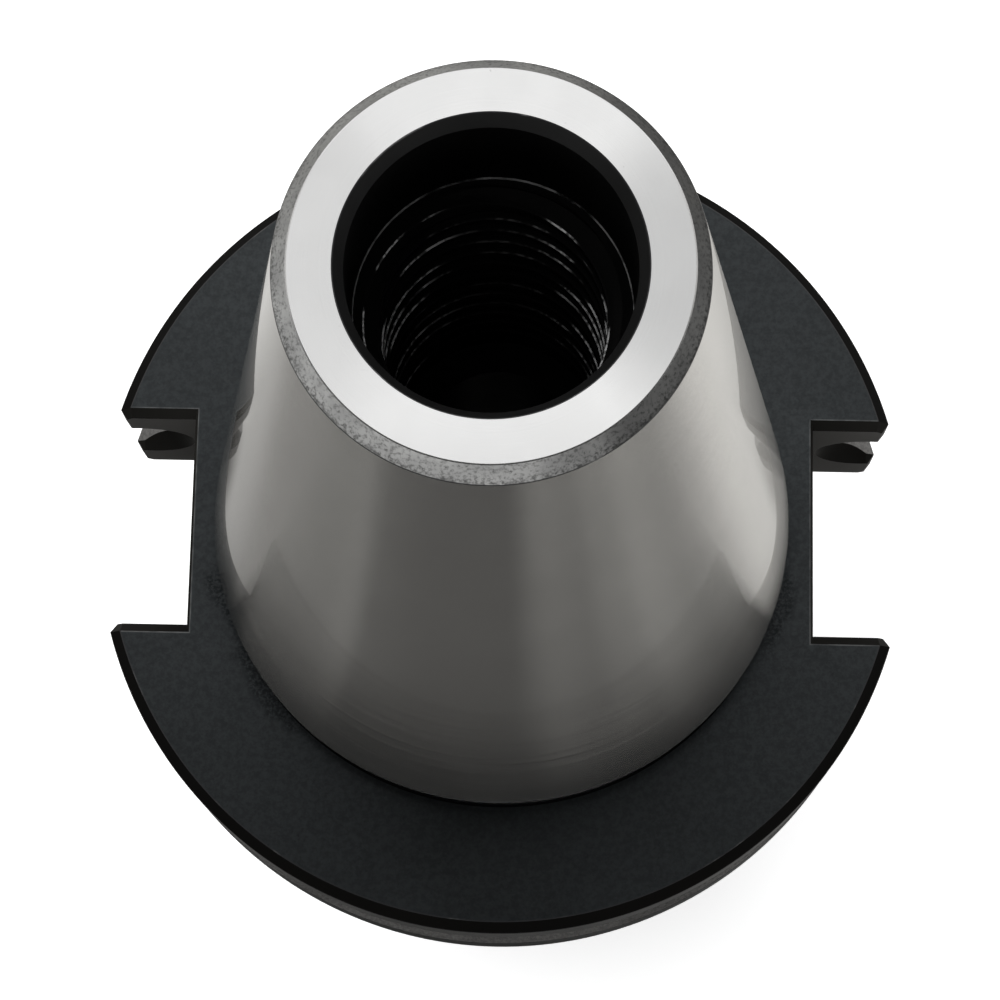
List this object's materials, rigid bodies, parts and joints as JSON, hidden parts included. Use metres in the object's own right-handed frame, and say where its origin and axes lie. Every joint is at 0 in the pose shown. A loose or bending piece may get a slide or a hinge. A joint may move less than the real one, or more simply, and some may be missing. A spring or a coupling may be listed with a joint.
{
  "type": "endmill holder",
  "caption": "Steep-taper side-lock end mill holder: hollow ground taper, V-flange with drive slots, and a plain nose with a radial set screw over the shank bore.",
  "frame": {"origin": "middle of the nose face, where the end mill's shank goes in", "axes": "+Z along the holder's axis from the nose to the small end of the taper, +X through one drive slot and along the side lock screw's axis, +Y across the slots"},
  "size_m": [0.061, 0.0636, 0.1444],
  "materials": {
    "ground_steel": "ground taper and end face, black oxide flange, nose and bores",
    "black_oxide_screw": "black oxide"
  },
  "bodies": {
    "holder": {"holder_body": "ground_steel"},
    "screw": {"set_screw": "black_oxide_screw"}
  },
  "joints": [
    {"name": "screw_travel", "type": "slide", "parent": "holder", "child": "screw", "axis": [1, 0, 0], "range_m": [-0.00282, 0.00706]}
  ]
}
